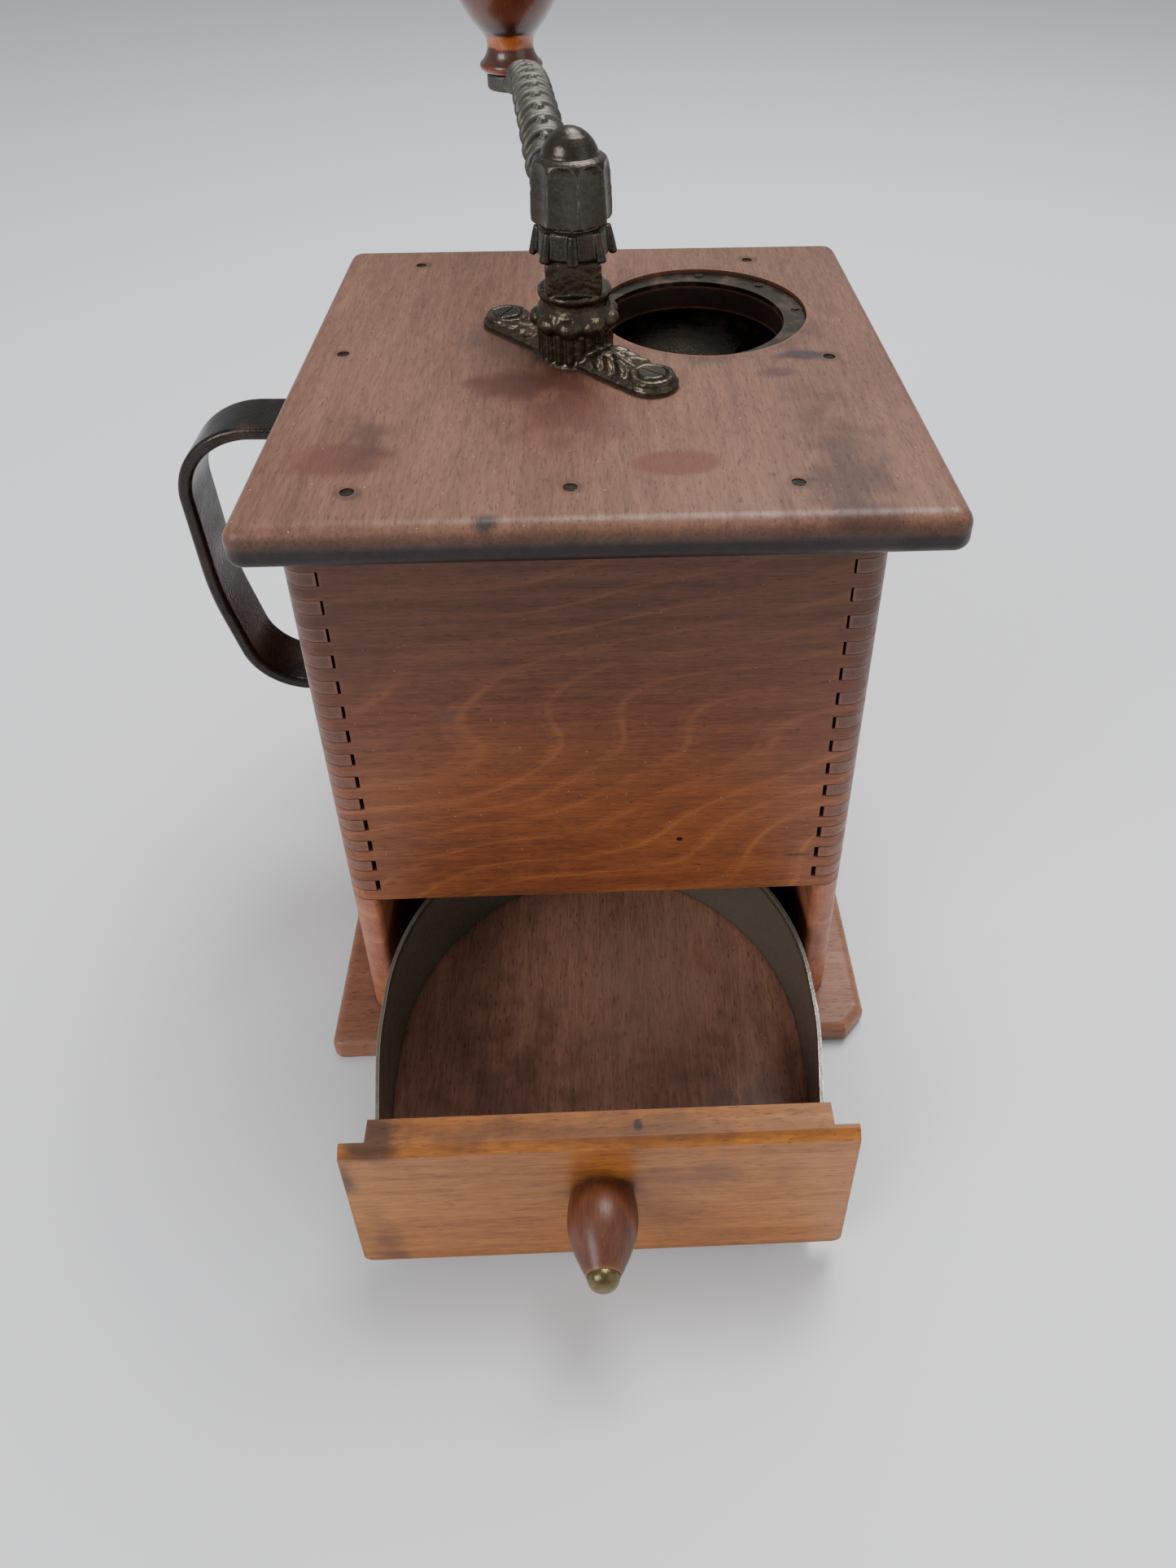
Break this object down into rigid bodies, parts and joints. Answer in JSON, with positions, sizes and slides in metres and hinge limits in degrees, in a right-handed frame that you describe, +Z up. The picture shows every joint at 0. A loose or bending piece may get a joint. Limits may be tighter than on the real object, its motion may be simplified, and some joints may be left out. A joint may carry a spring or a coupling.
{
  "type": "hand crank coffee grinder",
  "caption": "Wooden box mill with finger-jointed case, iron crank and conical burrs on a vertical spindle, side handle and half-round pull-out drawer.",
  "frame": {"origin": "centre of the underside of the base board", "axes": "+X to the right of the drawer front, +Y to the back, +Z up along the spindle"},
  "size_m": [0.2273, 0.3229, 0.3299],
  "materials": {
    "case_wood": "worn, waxed reddish-brown birch",
    "drawer_front_wood": "worn honey-coloured birch",
    "drawer_floor_wood": "dark, coffee-stained",
    "crank_knob_wood": "turned, glossy, with burnt bands",
    "drawer_knob_wood": "turned, worn satin",
    "cast_iron": "dark bronze-black with polished high spots",
    "dark_steel": "tarnished",
    "ring_iron": "grey-brown, rusted at the inner edge",
    "tin_plate": "dull grey-olive tinplate",
    "old_brass": "tarnished"
  },
  "bodies": {
    "case": {"base_board": "case_wood", "base_screws": "dark_steel", "left_side": "case_wood", "right_side": "case_wood", "front_panel": "case_wood", "back_panel": "case_wood", "top_board": "case_wood", "top_nails": "dark_steel", "fill_ring": "ring_iron", "ring_nails": "dark_steel", "spindle_bracket": "cast_iron", "bracket_screws": "dark_steel", "hopper": "tin_plate", "hopper_tacks": "dark_steel", "grinding_shell": "cast_iron", "shell_screws": "dark_steel", "bearing_bridge": "cast_iron", "bridge_screws": "dark_steel", "side_handle": "cast_iron", "handle_screws": "dark_steel"},
    "drawer": {"drawer_front": "drawer_front_wood", "drawer_floor": "drawer_floor_wood", "drawer_band": "tin_plate", "band_nails": "dark_steel", "floor_screw": "dark_steel", "drawer_knob": "drawer_knob_wood", "drawer_knob_screw": "old_brass"},
    "regulating_nut": {"regulating_nut": "cast_iron"},
    "spindle_lift": {"thrust_washer": "dark_steel"},
    "crank": {"crank": "cast_iron", "spindle": "dark_steel", "hub_pin": "dark_steel", "knob_pin": "dark_steel", "grinding_cone": "cast_iron", "cone_pin": "dark_steel"},
    "crank_knob": {"crank_knob": "crank_knob_wood"}
  },
  "joints": [
    {"name": "drawer_slide", "type": "slide", "parent": "case", "child": "drawer", "axis": [0, -1, 0], "range_m": [-0.077, 0.045]},
    {"name": "regulating_nut_turn", "type": "hinge", "parent": "case", "child": "regulating_nut", "pos_m": [-0.0028, 0.0002, 0.25], "axis": [0, 0, 1], "range_deg": [0, 360]},
    {"name": "spindle_raise", "type": "slide", "parent": "case", "child": "spindle_lift", "axis": [0, 0, 1], "range_m": [0, 0.002]},
    {"name": "crank_turn", "type": "hinge", "parent": "spindle_lift", "child": "crank", "pos_m": [-0.0028, 0.0002, 0.25], "axis": [0, 0, 1], "continuous": true},
    {"name": "knob_spin", "type": "hinge", "parent": "crank", "child": "crank_knob", "pos_m": [-0.02601, 0.12303, 0.3], "axis": [0, 0, 1], "continuous": true}
  ],
  "couplings": [
    {"joint": "regulating_nut_turn", "follows": "spindle_raise", "rad_per_m": 3141.6}
  ]
}
